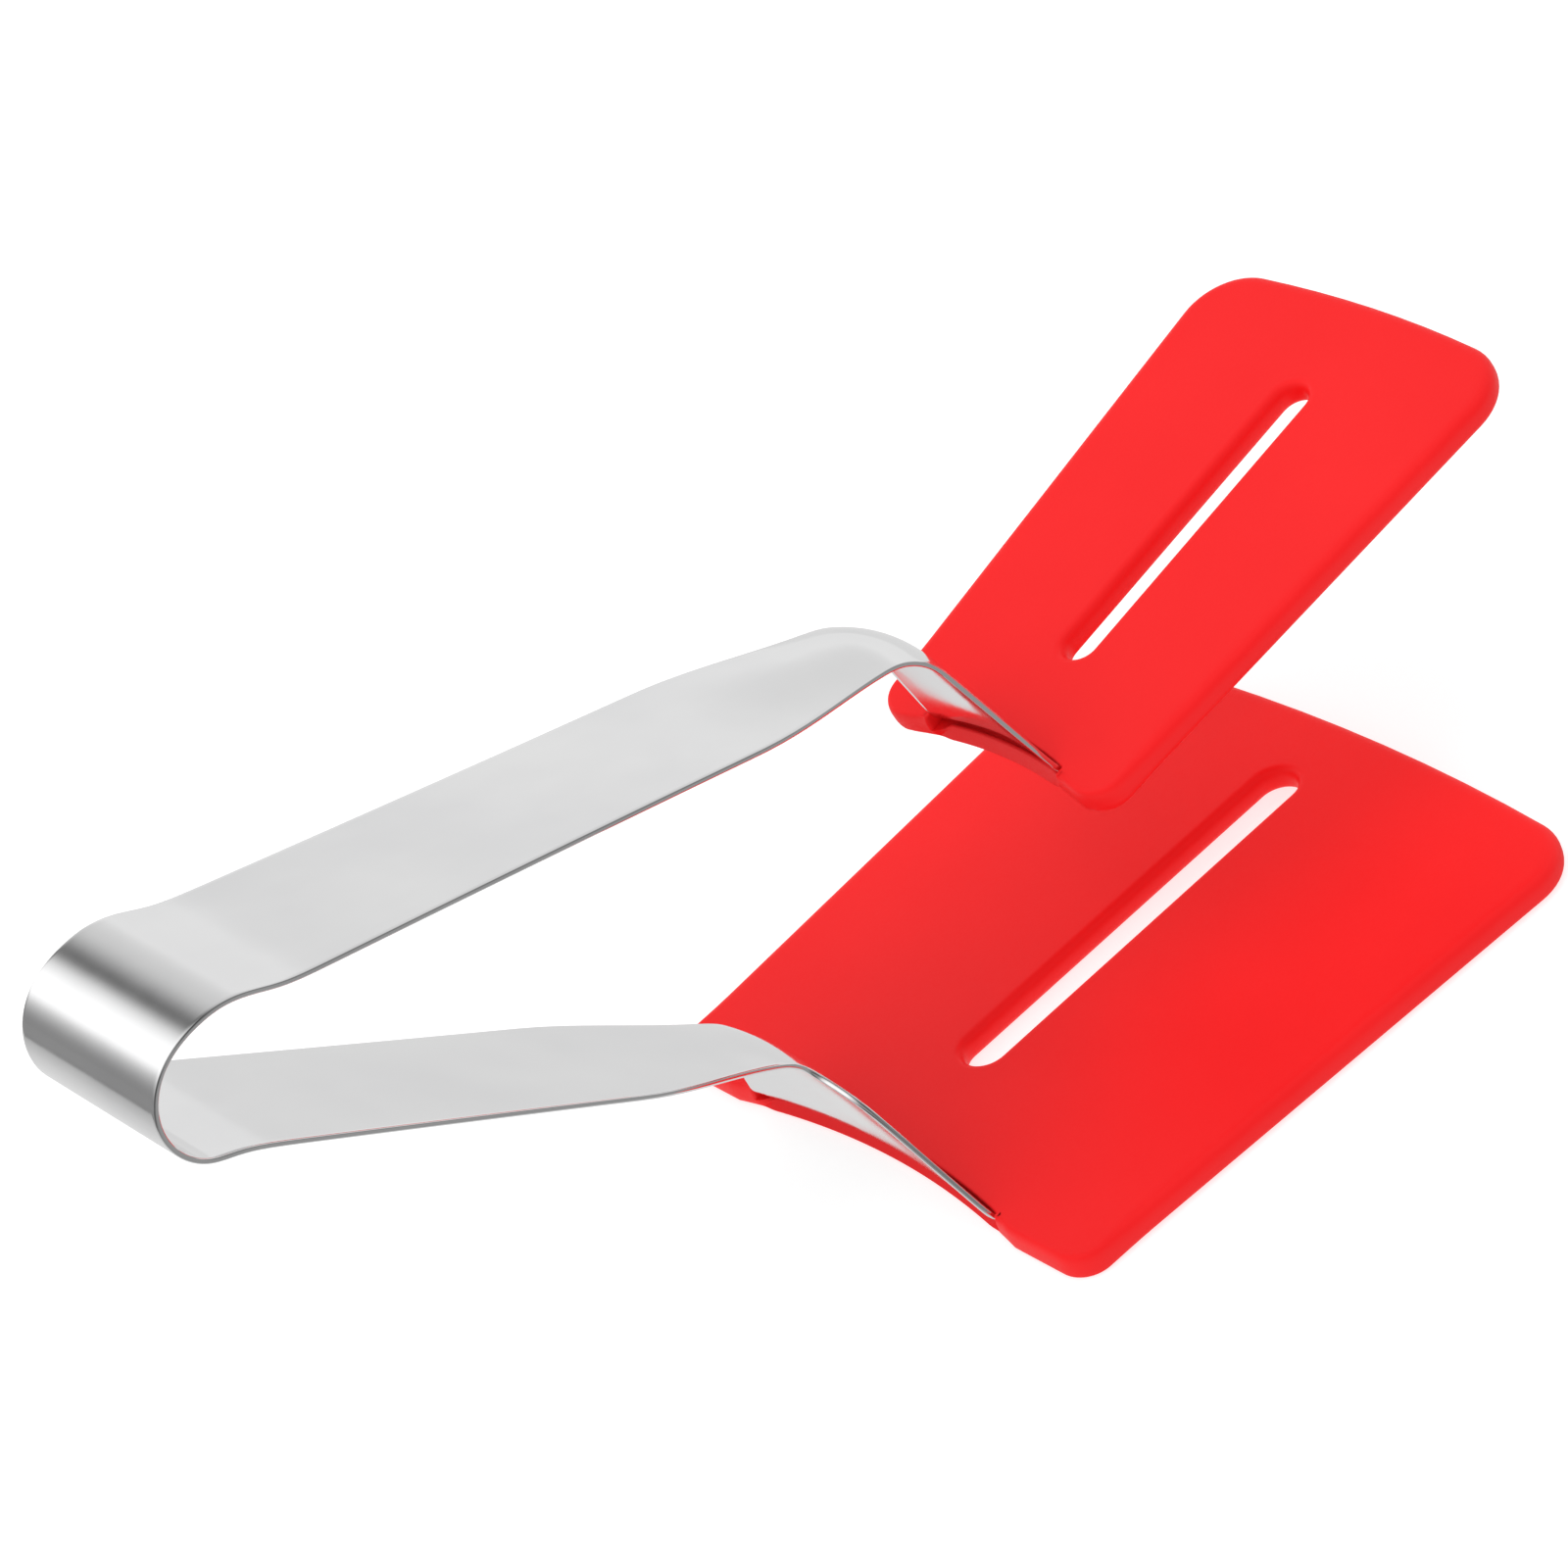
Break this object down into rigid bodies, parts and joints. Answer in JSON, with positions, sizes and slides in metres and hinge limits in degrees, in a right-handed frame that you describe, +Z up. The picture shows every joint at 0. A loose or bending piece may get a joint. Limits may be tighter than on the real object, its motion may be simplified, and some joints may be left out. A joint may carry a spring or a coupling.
{
  "type": "spring loaded kitchen tongs",
  "caption": "Spring loaded kitchen tongs: a bent steel strip whose arms carry a wide and a narrow slotted silicone jaw, squeezed to grip, lift and turn food.",
  "frame": {"origin": "centre of the lower sleeve's flat underside, which the tongs rest on", "axes": "+X along the lower jaw from its mouth to its tip, +Z up out of the resting face, Y across the jaws, with the tongs symmetric about the plane Y = 0"},
  "size_m": [0.2126, 0.0988, 0.1034],
  "materials": {
    "stainless_steel": "polished stainless steel strip",
    "red_silicone": "satin red silicone"
  },
  "bodies": {
    "lower_half": {"lower_arm": "stainless_steel", "lower_blade": "stainless_steel", "lower_sleeve": "red_silicone", "spring_bow": "stainless_steel"},
    "upper_half": {"upper_arm": "stainless_steel", "upper_blade": "stainless_steel", "upper_sleeve": "red_silicone"}
  },
  "joints": [
    {"name": "squeeze", "type": "hinge", "parent": "lower_half", "child": "upper_half", "pos_m": [-0.13101, 0, 0.09609], "axis": [0, 1, 0], "range_deg": [0, 14.2], "stiffness_Nm_per_rad": 3, "springref_deg": -2.29, "deforming": ["spring_bow"]}
  ]
}
